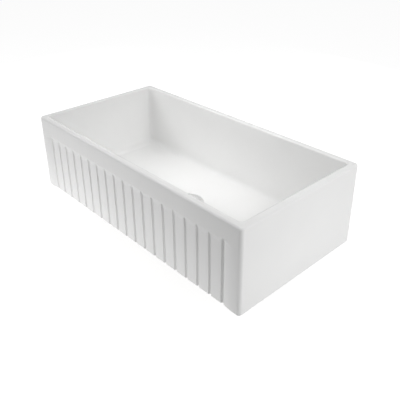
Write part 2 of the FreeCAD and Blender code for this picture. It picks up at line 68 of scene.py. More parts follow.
# the fireclay body, whose outer size comes from the frame
SINK_LOW, SINK_HIGH = (np.array(corner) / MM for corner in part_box("sink_body"))
HALF_WIDTH, HALF_DEPTH = (SINK_HIGH - SINK_LOW)[:2] / 2
SINK_HEIGHT = float(SINK_HIGH[2])
RIM_WIDTH = 21
OUTER_CORNER = 10
RIM_OUTER_ROUND = 7
RIM_INNER_ROUND = 5
FOOT_ROUND = 4
BASIN_CORNER = 10
BASIN_LEAN = math.tan(math.radians(1))
FLOOR_ROUND = 20
FLOOR_EDGE = 30
FLOOR_AT_DRAIN = 26
SEAT_RADIUS = 59
SEAT_HEIGHT = 22
SEAT_ROUND = 2
HOLE_RADIUS = 45

# the fluted apron
PANEL_TOP = SINK_HEIGHT - 53
PANEL_EDGE = HALF_WIDTH - 20
PANEL_SETBACK = 3
PANEL_END_SETBACK = 4.5
PANEL_TOP_SOFTNESS = 22
PANEL_END_SOFTNESS = 6
PANEL_END_DROOP = 0.2
FLUTE_COUNT = 19
LAST_FLUTE = PANEL_EDGE - 40.4
FLUTE_PITCH = LAST_FLUTE * 2 / (FLUTE_COUNT - 1)
FLUTE_RADIUS = 4.8
FLUTE_DEPTH = 4.6
FLUTE_TIP = PANEL_TOP - 5
FLUTE_TIP_LENGTH = 15
FLUTE_SOFTNESS = 0.7

# the waste, from the flange in the basin down to the end of the tailpiece
FLANGE_RADIUS = 57.15
FLANGE_TOP = 25.5
FLANGE_UNDERSIDE = 23.5
BOWL_RADIUS = 40.5
BOWL_FLOOR = -26.5
BOWL_UNDERSIDE = -29
THREAD_RADIUS = 43
THREAD_BORE = 43.1
THREAD_PITCH = 2.2
THREAD_DEPTH = 0.9
OUTLET_RADIUS = 24
OUTLET_END = -49
LOCKNUT_LOW, LOCKNUT_HIGH = -16.2, -4.2
LOCKNUT_BODY, LOCKNUT_NECK = 51, 47
LUG_COUNT = 8
LUG_RADIUS = 52
LUG_CIRCLE = 49
TUBE_RADIUS = 19.05
TUBE_BORE = 17.85
TAIL_TOP = -51
TAIL_END = float(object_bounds()[0][2]) / MM
COUPLING_LOW, COUPLING_HIGH = -55.6, -33.6
COUPLING_FLAT = 29
COUPLING_CORNER = 33.1
COUPLING_MOUTH = 28.4
POST_RADIUS = 3.2
CATCH_BORE, CATCH_RADIUS = 3.25, 4.9
CATCH_LOW, CATCH_HIGH = -35.5, -34.1
CATCH_HALF_GAP = 1.5
CATCH_MIDDLE = 4.1
STOPPER_LOW, STOPPER_HIGH = -26.3, -21.3
KNOB_LOW, KNOB_HIGH = -19.9, 17.1

# the perforated cup, whose distances run along its section
CUP_COLUMNS = 280
CUP_LOW, CUP_HIGH = -21.1, 10.9
CUP_BORE = 3.25
CUP_FOOT = 28
CUP_MOUTH = 37.5
CUP_WALL = 1
CUP_WALL_TOP = 31
INNER_HOLES, INNER_CIRCLE = 8, 12
OUTER_HOLES, OUTER_CIRCLE = 14, 21
HOLE_SIZE = 1.8
SLOT_COUNT = 20
SLOT_HALF_WIDTH = 1.5
SLOT_HALF_HEIGHT = 7
SLOT_BAND = 16.5

# the camera, fitted to the photograph's corners: degrees, metres and the photograph's pixels
CAMERA_ANGLES = (47.43, 26.58, -0.44)
CAMERA_TARGET = (0.07264, 0, 0.20171)
CAMERA_DISTANCE = 1.5727
CAMERA_SHIFT_UP = -0.1
SENSOR_WIDTH = 36
FOCAL_LENGTH_PIXELS = 534.45
PHOTO_WIDTH_PIXELS = 400


# ---------------------------------------------------------------------------------------------
# Meshes from grids of points
# ---------------------------------------------------------------------------------------------
def grid_faces(rows, columns, close_rows=False, close_columns=True):
    """The quads of a grid of points, as an array of four corners each.

    Point (i, j) has the number i * columns + j. The last row or column joins the first where
    the grid is closed that way.
    """
    i = np.arange(rows if close_rows else rows - 1)
    j = np.arange(columns if close_columns else columns - 1)
    i, j = (side.ravel() for side in np.meshgrid(i, j, indexing="ij"))
    up = (i + 1) % rows
    on = (j + 1) % columns
    here, there = i * columns, up * columns
    return np.stack([here + j, here + on, there + on, there + j], axis=1)


def capped_grid(rows, first_pole, last_pole):
    """A tube of rows of points, closed at each end by a fan of triangles round a pole.

    The poles are points 0 and 1. A triangle is held as a quad with two corners alike.
    """
    count, columns = rows.shape[:2]
    j = np.arange(columns)
    on = (j + 1) % columns
    last = 2 + (count - 1) * columns
    first_cap = np.stack([0 * j, 0 * j, 2 + on, 2 + j], axis=1)
    last_cap = np.stack([last + j, last + on, 0 * j + 1, 0 * j + 1], axis=1)
    points = np.vstack([first_pole, last_pole, rows.reshape(-1, 3)])
    return points, np.vstack([first_cap, grid_faces(count, columns) + 2, last_cap])


def facing_out(points, faces):
    """The faces of a closed shell, turned over if its signed volume is negative.

    The volume is a sixth of the sum of a . (b x c + c x d) over its quads.
    """
    a, b, c, d = (points[faces[:, k]] for k in range(4))
    volume = np.sum(a * (np.cross(b, c) + np.cross(c, d)))
    return faces if volume > 0 else faces[:, ::-1]


def make_piece(name, shells, material, body, node, sharp_angle=50):
    """An object from closed shells in millimetres, riding on a body in place of its CAD node.

    It is shaded smoothly, apart from edges where faces meet at more than the sharp angle.
    """
    firsts = np.cumsum([0] + [len(points) for points, _ in shells[:-1]])
    faces = np.vstack([facing_out(*shell) + first for shell, first in zip(shells, firsts)])
    points = np.vstack([points for points, _ in shells])
    ends_alike = faces[:, 2] == faces[:, 3]
    starts_alike = faces[:, 0] == faces[:, 1]
    quads = faces[~(ends_alike | starts_alike)]
    triangles = np.vstack([faces[ends_alike][:, :3], faces[starts_alike][:, 1:]])
    mesh = bpy.data.meshes.new(name)
    mesh.from_pydata((points * MM).tolist(), [], quads.tolist() + triangles.tolist())
    mesh.polygons.foreach_set("use_smooth", np.ones(len(mesh.polygons), bool))
    mesh.set_sharp_from_angle(angle=math.radians(sharp_angle))
    mesh.materials.append(material)
    piece = bpy.data.objects.new(name, mesh)
    bpy.context.scene.collection.objects.link(piece)
    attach(piece, body)
    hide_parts(node)


def smooth_step(t):
    """A rise from 0 to 1 that starts and ends level: 3 t^2 - 2 t^3, held at 0 and 1 outside."""
    t = np.clip(t, 0, 1)
    return t * t * (3 - 2 * t)


def quarter(steps):
    """Angles of a quarter turn."""
    return np.linspace(0, TAU / 4, steps)


# ---------------------------------------------------------------------------------------------
# Turned shapes
# ---------------------------------------------------------------------------------------------
def soft_profile(corners, closed=True, steps=6):
    """Points along a profile of (radius, height[, rounding]) corners, with an arc at each corner.

    An arc of radius r leaves each side r / tan(h) from the corner, h being half the corner's
    angle, and its centre is r / sin(h) in along the middle. Two holding points on each side
    keep it flat under smooth shading. An open profile keeps its two ends sharp.
    """
    p = np.array([corner[:2] for corner in corners], float)
    r = np.array([corner[2] if len(corner) > 2 else 0.25 for corner in corners], float)
    if not closed:
        r[[0, -1]] = 0
    back = np.roll(p, 1, axis=0) - p
    on = np.roll(p, -1, axis=0) - p
    side = np.linalg.norm(on, axis=1)
    back = back / np.linalg.norm(back, axis=1)[:, None]
    on = on / side[:, None]
    half = np.arccos(np.clip(np.sum(back * on, axis=1), -1, 1)) / 2
    r = np.minimum(r, 0.45 * np.minimum(side, np.roll(side, 1)) * np.tan(half))
    middle = back + on
    middle = middle / np.maximum(np.linalg.norm(middle, axis=1), 1e-9)[:, None]
    reach = (r / np.tan(half))[:, None]
    centre = p + middle * (r / np.sin(half))[:, None]
    first = p + back * reach - centre
    last = p + on * reach - centre
    start = np.arctan2(first[:, 1], first[:, 0])
    sweep = (np.arctan2(last[:, 1], last[:, 0]) - start + TAU / 2) % TAU - TAU / 2
    angle = start[:, None] + sweep[:, None] * np.linspace(0, 1, steps)
    arcs = centre[:, None] + r[:, None, None] * np.stack([np.cos(angle), np.sin(angle)], axis=2)
    ahead = np.roll(arcs[:, 0], -1, axis=0) - arcs[:, -1]
    holds = arcs[:, -1][:, None] + ahead[:, None] * np.array([0.06, 0.94])[None, :, None]
    points = np.concatenate([arcs, holds], axis=1)
    if closed:
        return points.reshape(-1, 2)
    return np.vstack([p[0], holds[0], points[1:-1].reshape(-1, 2), p[-1]])


def turned(profile, steps=120, reshape=None):
    """Rows of points of a profile of (radius, height), turned about the upright axis.

    Point (i, j) is (r cos a, r sin a, z) for row i and angle a. The function reshape may change
    the radii, given as rows by angles, from the rows' heights and the angles.
    """
    angle = np.linspace(0, TAU, steps, endpoint=False)
    r = np.repeat(profile[:, :1], steps, axis=1)
    z = np.repeat(profile[:, 1:], steps, axis=1)
    if reshape is not None:
        r = reshape(r, z, angle[None, :])
    return np.stack([r * np.cos(angle), r * np.sin(angle), z], axis=2)


def turned_ring(profile, steps=120, reshape=None):
    """A closed profile turned into a ring."""
    points = turned(profile, steps, reshape).reshape(-1, 3)
    return points, grid_faces(len(profile), steps, close_rows=True)


def turned_solid(profile, steps=120):
    """An open profile whose ends lie on the upright axis, turned into a solid with closed poles."""
    return capped_grid(turned(profile[1:-1], steps), (0, 0, profile[0, 1]), (0, 0, profile[-1, 1]))


def thread_cut(z, angle, low, high):
    """How deep a screw thread cuts: a cosine that climbs one pitch a turn, fading at its ends."""
    wave = 0.5 - 0.5 * np.cos(TAU * z / THREAD_PITCH - angle)
    fade = smooth_step((z - low) / THREAD_PITCH) * smooth_step((high - z) / THREAD_PITCH)
    return THREAD_DEPTH * wave * fade


def straight_rows(radius, start, end):
    """Closely spaced rows up or down a cylinder, for a thread."""
    z = np.linspace(start, end, int(abs(end - start) / 0.3) + 2)
    return np.column_stack([np.full(len(z), radius), z])


# ---------------------------------------------------------------------------------------------
# Materials
# ---------------------------------------------------------------------------------------------
class Finish:
    """A material under construction: its nodes, its links and its main shader."""

    def __init__(self, name, **sockets):
        self.material = bpy.data.materials.new(name)
        self.material.use_nodes = True
        self.tree = self.material.node_tree
        self.shader = self.tree.nodes["Principled BSDF"]
        for socket, value in sockets.items():
            self.shader.inputs[socket.replace("_", " ")].default_value = value

    def node(self, kind, **settings):
        """A new node. Settings name its properties, or its inputs where it has no such property."""
        made = self.tree.nodes.new(f"ShaderNode{kind}")
        for key, value in settings.items():
            if hasattr(made, key):
                setattr(made, key, value)
            else:
                made.inputs[key.replace("_", " ")].default_value = value
        return made

    def link(self, source, target):
        self.tree.links.new(source, target)

    def place(self, scale=(1, 1, 1)):
        """Object coordinates, stretched by a scale along each axis."""
        mapping = self.node("Mapping")
        mapping.inputs["Scale"].default_value = scale
        self.link(self.node("TexCoord").outputs["Object"], mapping.inputs["Vector"])
        return mapping.outputs["Vector"]

    def height(self):
        """The height above the sink's underside, in metres."""
        split = self.node("SeparateXYZ")
        self.link(self.node("TexCoord").outputs["Object"], split.inputs["Vector"])
        return split.outputs["Z"]

    def lathe_place(self):
        """Coordinates alike all round the upright axis: the distance from it, and the height."""
        split = self.node("SeparateXYZ")
        self.link(self.node("TexCoord").outputs["Object"], split.inputs["Vector"])
        flat = self.node("CombineXYZ")
        self.link(split.outputs["X"], flat.inputs["X"])
        self.link(split.outputs["Y"], flat.inputs["Y"])
        length = self.node("VectorMath", operation="LENGTH")
        self.link(flat.outputs["Vector"], length.inputs[0])
        both = self.node("CombineXYZ")
        self.link(length.outputs["Value"], both.inputs["X"])
        self.link(split.outputs["Z"], both.inputs["Y"])
        return both.outputs["Vector"]

    def noise(self, where, scale, detail=3.0, roughness=0.5):
        made = self.node("TexNoise", Scale=scale, Detail=detail, Roughness=roughness)
        self.link(where, made.inputs["Vector"])
        return made.outputs["Fac"]

    def spread(self, value, low, high, start=0.3, end=0.7):
        """A value mapped from start..end to low..high."""
        made = self.node("MapRange")
        ends = {"From Min": start, "From Max": end, "To Min": low, "To Max": high}
        for socket, number in ends.items():
            made.inputs[socket].default_value = number
        self.link(value, made.inputs["Value"])
        return made.outputs["Result"]

    def blend(self, share, low, high):
        """A colour from low to high, each a colour or a node's output, by a share from 0 to 1."""
        made = self.node("Mix", data_type="RGBA")
        self.link(share, made.inputs[0])
        for socket, colour in ((made.inputs[6], low), (made.inputs[7], high)):
            if isinstance(colour, tuple):
                socket.default_value = (*colour, 1)
            else:
                self.link(colour, socket)
        return made.outputs[2]

    def colour(self, source):
        self.link(source, self.shader.inputs["Base Color"])

    def rough(self, source):
        self.link(source, self.shader.inputs["Roughness"])

    def bump(self, height, distance, strength=1.0, under=None):
        made = self.node("Bump", Strength=strength, Distance=distance)
        self.link(height, made.inputs["Height"])
        if under is not None:
            self.link(under, made.inputs["Normal"])
        self.link(made.outputs["Normal"], self.shader.inputs["Normal"])
        return made.outputs["Normal"]


def white_glaze():
    """Thick white gloss glaze that flows in long soft waves, over a bare cream underside."""
    finish = Finish("white_glaze", IOR=1.5)
    where = finish.place()
    glaze_tone = finish.spread(finish.noise(where, 7, 2), 0, 1)
    glaze = finish.blend(glaze_tone, (0.885, 0.885, 0.88), (0.90, 0.90, 0.895))
    clay_tone = finish.spread(finish.noise(where, 160, 5), 0, 1)
    clay = finish.blend(clay_tone, (0.60, 0.55, 0.46), (0.70, 0.65, 0.56))
    glazed = finish.spread(finish.height(), 0, 1, start=0.2 * MM, end=0.9 * MM)
    finish.colour(finish.blend(glazed, clay, glaze))
    roughness = finish.node("Mix", data_type="FLOAT")
    finish.link(glazed, roughness.inputs[0])
    roughness.inputs[2].default_value = 0.75
    finish.link(finish.spread(finish.noise(where, 30, 3), 0.07, 0.13), roughness.inputs[3])
    finish.rough(roughness.outputs[0])
    waves = finish.bump(finish.noise(where, 14, 1), 0.0012, 0.3)
    finish.bump(finish.noise(where, 260, 2), 0.00004, 0.4, waves)
    return finish.material


def brushed_stainless():
    """Stainless steel with fine rings from the lathe and faint handling marks."""
    finish = Finish("brushed_stainless", Metallic=1.0, Anisotropic=0.4)
    marks = finish.noise(finish.place(), 60, 4)
    tone = finish.spread(marks, 0, 1)
    finish.colour(finish.blend(tone, (0.80, 0.80, 0.795), (0.88, 0.88, 0.875)))
    finish.rough(finish.spread(marks, 0.13, 0.22))
    finish.bump(finish.noise(finish.lathe_place(), 1800, 1), 0.00002, 0.35)
    return finish.material


def bright_chrome():
    """Bright chrome plate over a polished tube, with water marks that dull it slightly."""
    finish = Finish("bright_chrome", Metallic=1.0)
    marks = finish.noise(finish.place(), 90, 5)
    finish.colour(finish.blend(finish.spread(marks, 0, 1), (0.80, 0.81, 0.82), (0.88, 0.88, 0.89)))
    finish.rough(finish.spread(marks, 0.04, 0.13))
    finish.bump(finish.noise(finish.place(), 35, 1), 0.0002, 0.2)
    return finish.material


def cast_brass():
    """Sand-cast brass: a grainy skin, tarnished brown in its hollows."""
    finish = Finish("cast_brass", Metallic=1.0)
    grain = finish.noise(finish.place(), 900, 4, 0.6)
    tarnish = finish.spread(finish.noise(finish.place(), 70, 4), 0, 1)
    finish.colour(finish.blend(tarnish, (0.38, 0.25, 0.11), (0.66, 0.48, 0.22)))
    finish.rough(finish.spread(grain, 0.32, 0.5))
    finish.bump(grain, 0.00025, 0.7)
    return finish.material


def black_rubber():
    """Matt black rubber with a dusty bloom and a fine moulded grain."""
    finish = Finish("black_rubber", Specular_IOR_Level=0.35)
    bloom = finish.noise(finish.place(), 110, 4)
    tone = finish.spread(bloom, 0, 1)
    finish.colour(finish.blend(tone, (0.018, 0.018, 0.019), (0.045, 0.045, 0.046)))
    finish.rough(finish.spread(bloom, 0.5, 0.72))
    finish.bump(finish.noise(finish.place(), 1500, 3), 0.00012, 0.5)
    return finish.material


def grey_foam():
    """Closed-cell foam: round pores seen on its cut edge, in two greys."""
    finish = Finish("grey_foam", Roughness=0.95, Specular_IOR_Level=0.15)
    pores = finish.node("TexVoronoi", Scale=1400)
    finish.link(finish.place(), pores.inputs["Vector"])
    cells = finish.spread(pores.outputs["Distance"], 0, 1, start=0.05, end=0.6)
    finish.colour(finish.blend(cells, (0.26, 0.26, 0.265), (0.42, 0.42, 0.425)))
    finish.bump(cells, 0.0003, 0.7)
    return finish.material


def pressed_fibre():
    """Pressed fibre board: short brown fibres that lie flat in the sheet."""
    finish = Finish("pressed_fibre", Roughness=0.9, Specular_IOR_Level=0.2)
    fibres = finish.noise(finish.place((1, 4, 9)), 420, 5, 0.65)
    finish.colour(finish.blend(finish.spread(fibres, 0, 1), (0.30, 0.19, 0.10), (0.50, 0.36, 0.21)))
    finish.bump(fibres, 0.0002, 0.6)
    return finish.material


def white_polythene():
    """Milky white plastic with a waxy surface."""
    finish = Finish("white_polythene", Subsurface_Weight=0.15)
    cloud = finish.noise(finish.place(), 60, 3)
    finish.colour(finish.blend(finish.spread(cloud, 0, 1), (0.72, 0.73, 0.72), (0.80, 0.81, 0.80)))
    finish.rough(finish.spread(cloud, 0.34, 0.46))
    finish.bump(finish.noise(finish.place(), 700, 2), 0.00006, 0.5)
    return finish.material


# ---------------------------------------------------------------------------------------------
# The fireclay body
# ---------------------------------------------------------------------------------------------
def front_stations():
    """Where the columns of the apron's grid stand along X: close together at each flute."""
    near = np.array([-7, -5.8, -5.1, -4.5, -3.8, -2.8, -1.5, 0, 1.5, 2.8, 3.8, 4.5, 5.1, 5.8, 7])
    centres = (np.arange(FLUTE_COUNT) - (FLUTE_COUNT - 1) / 2) * FLUTE_PITCH
    flutes = (centres[:, None] + near[None, :]).ravel()
    bands = ((centres[:-1] + FLUTE_PITCH / 2)[:, None] + np.array([-9, 0, 9])).ravel()
    ends = LAST_FLUTE + 7 + (PANEL_EDGE - LAST_FLUTE - 7) * np.linspace(0.1, 1, 9)
    frame_side = np.linspace(PANEL_EDGE + 3, HALF_WIDTH - OUTER_CORNER, 4)[:-1]
    outside = np.concatenate([ends, frame_side])
    return np.sort(np.concatenate([flutes, bands, outside, -outside]))


def outline_stations():
    """The columns round the sink, from the front's left end anticlockwise, and the front's count.

    A column is (ax, ay, cx, cy): its point on a rounded rectangle of half sizes h and corner
    radius r is a * (h - r) + c * r, with c a unit vector. Straight sides have a fixed c, and
    corners a fixed a.
    """
    front = front_stations() / (HALF_WIDTH - OUTER_CORNER)
    side = np.linspace(-1, 1, 18)[1:-1]
    back = np.linspace(1, -1, 40)[1:-1]

    def straight(a_x, a_y, c_x, c_y):
        return np.column_stack(np.broadcast_arrays(a_x, a_y, c_x, c_y))

    def corner(a_x, a_y, start):
        angle = start + quarter(11)
        return straight(a_x, a_y, np.cos(angle), np.sin(angle))

    columns = np.vstack([
        straight(front, -1, 0, -1),
        corner(1, -1, -TAU / 4),
        straight(1, side, 1, 0),
        corner(1, 1, 0),
        straight(back, 1, 0, 1),
        corner(-1, 1, TAU / 4),
        straight(-1, -side, -1, 0),
        corner(-1, -1, TAU / 2),
    ])
    return columns, len(front)


def section_rows():
    """The rows of the sink's skin, from the underside out, up, over the rim, down and back.

    A row is (inset from the outer faces, corner radius, height, share of a circle, circle's
    radius, share of the apron's relief). Roundings are quarter circles in inset and height.
    """
    def rows(inset, corner, z, circle=0.0, ring=0.0, relief=0.0):
        columns = np.broadcast_arrays(inset, corner, z, circle, ring, relief)
        return np.column_stack(columns).astype(float)

    turn = quarter(7)
    foot_inset = FOOT_ROUND * (1 - np.sin(turn))
    tip_base = FLUTE_TIP - FLUTE_TIP_LENGTH
    wall = np.concatenate([
        [FOOT_ROUND + 1],
        np.linspace(FOOT_ROUND + 8, tip_base - 3, 8),
        np.linspace(tip_base, FLUTE_TIP + 1, 14),
        np.linspace(FLUTE_TIP + 2, PANEL_TOP + 1.5, 5),
        [PANEL_TOP + 8, SINK_HEIGHT - RIM_OUTER_ROUND - 8, SINK_HEIGHT - RIM_OUTER_ROUND - 1],
    ])
    outer_turn = quarter(10)
    outer_inset = RIM_OUTER_ROUND * (1 - np.cos(outer_turn))
    outer_z = SINK_HEIGHT - RIM_OUTER_ROUND * (1 - np.sin(outer_turn))
    inner_edge = RIM_WIDTH - RIM_INNER_ROUND
    across = np.array([0.08, 0.5, 0.92])
    rim_corner = OUTER_CORNER - RIM_OUTER_ROUND
    basin_corner = BASIN_CORNER + RIM_INNER_ROUND
    inner_turn = quarter(9)
    inner_inset = inner_edge + RIM_INNER_ROUND * np.sin(inner_turn)
    inner_z = SINK_HEIGHT - RIM_INNER_ROUND * (1 - np.cos(inner_turn))
    wall_foot = FLOOR_EDGE + FLOOR_ROUND
    basin_z = np.array([SINK_HEIGHT - RIM_INNER_ROUND - 1.5, 200, 150, 100, wall_foot + 2])
    lean = (SINK_HEIGHT - basin_z) * BASIN_LEAN
    foot_lean = (SINK_HEIGHT - wall_foot) * BASIN_LEAN
    floor_turn = quarter(12)
    floor_inset = foot_lean + FLOOR_ROUND * (1 - np.cos(floor_turn))
    floor_z = wall_foot - FLOOR_ROUND * np.sin(floor_turn)
    lip = SEAT_RADIUS + SEAT_ROUND
    fall = np.array([0.012, 0.05, 0.15, 0.3, 0.5, 0.7, 0.85, 0.94, 0.985])
    fall_z = FLOOR_EDGE + (FLOOR_AT_DRAIN - FLOOR_EDGE) * fall
    last_inset = RIM_WIDTH + foot_lean + FLOOR_ROUND
    lip_turn = quarter(6)
    lip_z = FLOOR_AT_DRAIN - SEAT_ROUND * (1 - np.cos(lip_turn))
    seat = np.array([
        (SEAT_RADIUS, SEAT_HEIGHT + 0.3),
        (SEAT_RADIUS - 0.3, SEAT_HEIGHT),
        (HOLE_RADIUS + 1, SEAT_HEIGHT),
        (HOLE_RADIUS, SEAT_HEIGHT - 1),
        (HOLE_RADIUS, 1),
        (HOLE_RADIUS + 1, 0),
        (HOLE_RADIUS + 12, 0),
    ])
    return np.vstack([
        rows(FOOT_ROUND + 12, OUTER_CORNER, 0),
        rows(FOOT_ROUND + 4, OUTER_CORNER - FOOT_ROUND, 0, relief=0.6),
        rows(foot_inset, OUTER_CORNER - foot_inset, FOOT_ROUND * (1 - np.cos(turn)), relief=1),
        rows(0, OUTER_CORNER, wall, relief=1),
        rows(outer_inset, OUTER_CORNER - outer_inset, outer_z),
        rows(
            RIM_OUTER_ROUND + (inner_edge - RIM_OUTER_ROUND) * across,
            rim_corner + (basin_corner - rim_corner) * across,
            SINK_HEIGHT,
        ),
        rows(inner_inset, BASIN_CORNER + RIM_WIDTH - inner_inset, inner_z),
        rows(RIM_WIDTH + lean, BASIN_CORNER, basin_z),
        rows(RIM_WIDTH + floor_inset, BASIN_CORNER, floor_z),
        rows(last_inset, BASIN_CORNER, fall_z, circle=fall, ring=lip),
        rows(0, 0, lip_z, circle=1, ring=lip - SEAT_ROUND * np.sin(lip_turn)),
        rows(0, 0, seat[:, 1], circle=1, ring=seat[:, 0]),
    ])


def apron_relief(x, z):
    """How far the apron's surface lies behind the plane of its frame.

    The panel is set back, and at each end it falls from the frame along a parabola to the last
    flute. Both die out upwards: the panel slowly, its ends at a soft edge that droops towards
    the frame. A flute's depth is that of a round cutter: sqrt(r^2 - x^2) less the height of
    the cutter's axis, whose radius r closes to nothing along an ellipse at the flute's tip. Its
    edges are softened with (d + sqrt(d^2 + soft^2)) / 2.
    """
    across = np.abs(x)
    fall = np.clip((PANEL_EDGE - across) / (PANEL_EDGE - LAST_FLUTE), 0, 1)
    inside = smooth_step((LAST_FLUTE + 2 - across) / 4)
    end_top = PANEL_TOP + 1 - PANEL_END_DROOP * np.clip(across - LAST_FLUTE, 0, None)
    end = PANEL_END_SETBACK * fall**2 * smooth_step((end_top - z) / PANEL_END_SOFTNESS)
    panel = PANEL_SETBACK * smooth_step((PANEL_TOP + 1 - z) / PANEL_TOP_SOFTNESS)
    base = end * (1 - inside) + panel * inside
    nearest = np.clip(np.round(x / FLUTE_PITCH), -(FLUTE_COUNT // 2), FLUTE_COUNT // 2)
    off = np.abs(x - nearest * FLUTE_PITCH)
    up = np.clip((z - FLUTE_TIP + FLUTE_TIP_LENGTH) / FLUTE_TIP_LENGTH, 0, 1)
    radius = FLUTE_RADIUS * np.sqrt(1 - up**2)
    inner = np.sqrt(np.clip(radius**2 - off**2, 0, None))
    depth = inner - (FLUTE_RADIUS - FLUTE_DEPTH) - 1.5 * np.clip(off - radius, 0, None)
    flute = (depth + np.sqrt(depth**2 + FLUTE_SOFTNESS**2)) / 2
    return base + flute


def fireclay_skin():
    """The fired body in one skin: an outline carried along the section of the bowl's wall.

    A row's outline is a rounded rectangle a * (h - r) + c * r. On the floor it is mixed with a
    circle about the drain, by the row's share of a circle.
    """
    stations, front_count = outline_stations()
    rows = section_rows()
    a, c = stations[:, :2], stations[:, 2:]
    inset, corner, z, circle, ring, relief = (rows[:, k][:, None] for k in range(6))
    half = np.array([HALF_WIDTH, HALF_DEPTH])
    shape = a[None] * (half - inset[..., None] - corner[..., None]) + c[None] * corner[..., None]
    edge = shape[np.argmax(circle[:, 0] > 0)]
    angle = np.arctan2(edge[:, 1], edge[:, 0])
    round_shape = ring[..., None] * np.column_stack([np.cos(angle), np.sin(angle)])[None]
    flat = shape * (1 - circle[..., None]) + round_shape * circle[..., None]
    points = np.concatenate([flat, np.broadcast_to(z[..., None], flat.shape[:2] + (1,))], axis=2)
    apron = points[:, :front_count]
    apron[..., 1] += relief * apron_relief(apron[..., 0], apron[..., 2])
    return points.reshape(-1, 3), grid_faces(len(rows), len(stations), close_rows=True)


# ---------------------------------------------------------------------------------------------
# The strainer and what clamps it
# ---------------------------------------------------------------------------------------------
def strainer_shells():
    """Flange, bowl and threaded outlet in one turning, the cross in its floor, and the socket."""
    flange_and_bowl = soft_profile(
        [
            (THREAD_RADIUS, FLANGE_UNDERSIDE - 3),
            (THREAD_RADIUS, FLANGE_UNDERSIDE, 0.5),
            (FLANGE_RADIUS, FLANGE_UNDERSIDE, 0.5),
            (FLANGE_RADIUS, FLANGE_UNDERSIDE + 1.2, 0.6),
            (FLANGE_RADIUS - 4, FLANGE_TOP, 3),
            (BOWL_RADIUS, FLANGE_TOP, 3.5),
            (BOWL_RADIUS, BOWL_FLOOR, 5),
            (26, BOWL_FLOOR, 1.5),
            (25, BOWL_FLOOR - 0.5, 1.5),
            (19, BOWL_FLOOR - 0.5, 0.8),
            (19, BOWL_UNDERSIDE),
            (21, BOWL_UNDERSIDE),
            (21, OUTLET_END, 0.6),
            (OUTLET_RADIUS, OUTLET_END, 0.8),
            (OUTLET_RADIUS, OUTLET_END + 3),
        ],
        closed=False,
    )
    underside = soft_profile(
        [
            (OUTLET_RADIUS, BOWL_UNDERSIDE - 1.5),
            (OUTLET_RADIUS, BOWL_UNDERSIDE, 0.8),
            (BOWL_RADIUS - 5, BOWL_UNDERSIDE, 2.5),
            (THREAD_RADIUS, BOWL_FLOOR + 5, 2),
            (THREAD_RADIUS, BOWL_FLOOR + 7),
        ],
        closed=False,
    )
    profile = np.vstack([
        flange_and_bowl,
        straight_rows(OUTLET_RADIUS, OUTLET_END + 3.3, BOWL_UNDERSIDE - 1.8),
        underside,
        straight_rows(THREAD_RADIUS, BOWL_FLOOR + 7.3, FLANGE_UNDERSIDE - 3.3),
    ])

    def cut_threads(r, z, angle):
        outlet = thread_cut(z, angle, OUTLET_END + 1, BOWL_UNDERSIDE - 1)
        bowl = thread_cut(z, angle, BOWL_FLOOR + 6, FLANGE_UNDERSIDE - 4)
        on_outlet = np.abs(r - OUTLET_RADIUS) < 0.01
        on_bowl = np.abs(r - THREAD_RADIUS) < 0.01
        return r - on_outlet * outlet - on_bowl * bowl

    socket = soft_profile([
        (CATCH_BORE, BOWL_FLOOR, 0.4),
        (6.5, BOWL_FLOOR, 0.6),
        (6.5, CATCH_LOW, 0.6),
        (4.95, CATCH_LOW),
        (4.95, CATCH_HIGH),
        (CATCH_BORE, CATCH_HIGH),
    ])
    turning = turned_ring(profile, 160, cut_threads)
    return [turning, turned_ring(socket, 48), cross_bar(0), cross_bar(TAU / 4)]


def cross_bar(turn):
    """A bar with soft edges across the outlet, under the bowl's floor.

    Its section is a superellipse |y / w|^6 + |z / h|^6 = 1, carried along the bar, and its ends
    lie inside the strainer's floor.
    """
    angle = np.linspace(0, TAU, 32, endpoint=False)
    across = 2.0 * np.sign(np.cos(angle)) * np.abs(np.cos(angle)) ** (1 / 3)
    up = 1.2 * np.sign(np.sin(angle)) * np.abs(np.sin(angle)) ** (1 / 3)
    along = np.array([-20.4, -20, -10, 0, 10, 20, 20.4])[:, None]
    size = np.array([0.6, 1, 1, 1, 1, 1, 0.6])[:, None]
    x, y, z = np.broadcast_arrays(along, size * across, size * up - 27.75)
    turned_x = x * np.cos(turn) - y * np.sin(turn)
    turned_y = x * np.sin(turn) + y * np.cos(turn)
    rows = np.stack([turned_x, turned_y, z], axis=2)
    return capped_grid(rows, rows[0].mean(axis=0), rows[-1].mean(axis=0))


def flat_ring(inner, outer, low, high, edge):
    """A washer: a rectangle with soft corners, turned about the axis."""
    corners = [(inner, low, edge), (outer, low, edge), (outer, high, edge), (inner, high, edge)]
    return turned_ring(soft_profile(corners))


def catch_ring_shell():
    """A split spring ring: a soft rectangle carried round most of a turn, with flat ends."""
    profile = soft_profile([
        (CATCH_BORE, CATCH_LOW, 0.3),
        (CATCH_RADIUS, CATCH_LOW, 0.3),
        (CATCH_RADIUS, CATCH_HIGH, 0.3),
        (CATCH_BORE, CATCH_HIGH, 0.3),
    ])
    half_gap = math.asin(CATCH_HALF_GAP / CATCH_MIDDLE)
    angle = np.linspace(half_gap, TAU - half_gap, 60)[:, None]
    r, z = profile.T
    x, y, z = np.broadcast_arrays(r * np.cos(angle), r * np.sin(angle), z)
    rows = np.stack([x, y, z], axis=2)
    return capped_grid(rows, rows[0].mean(axis=0), rows[-1].mean(axis=0))


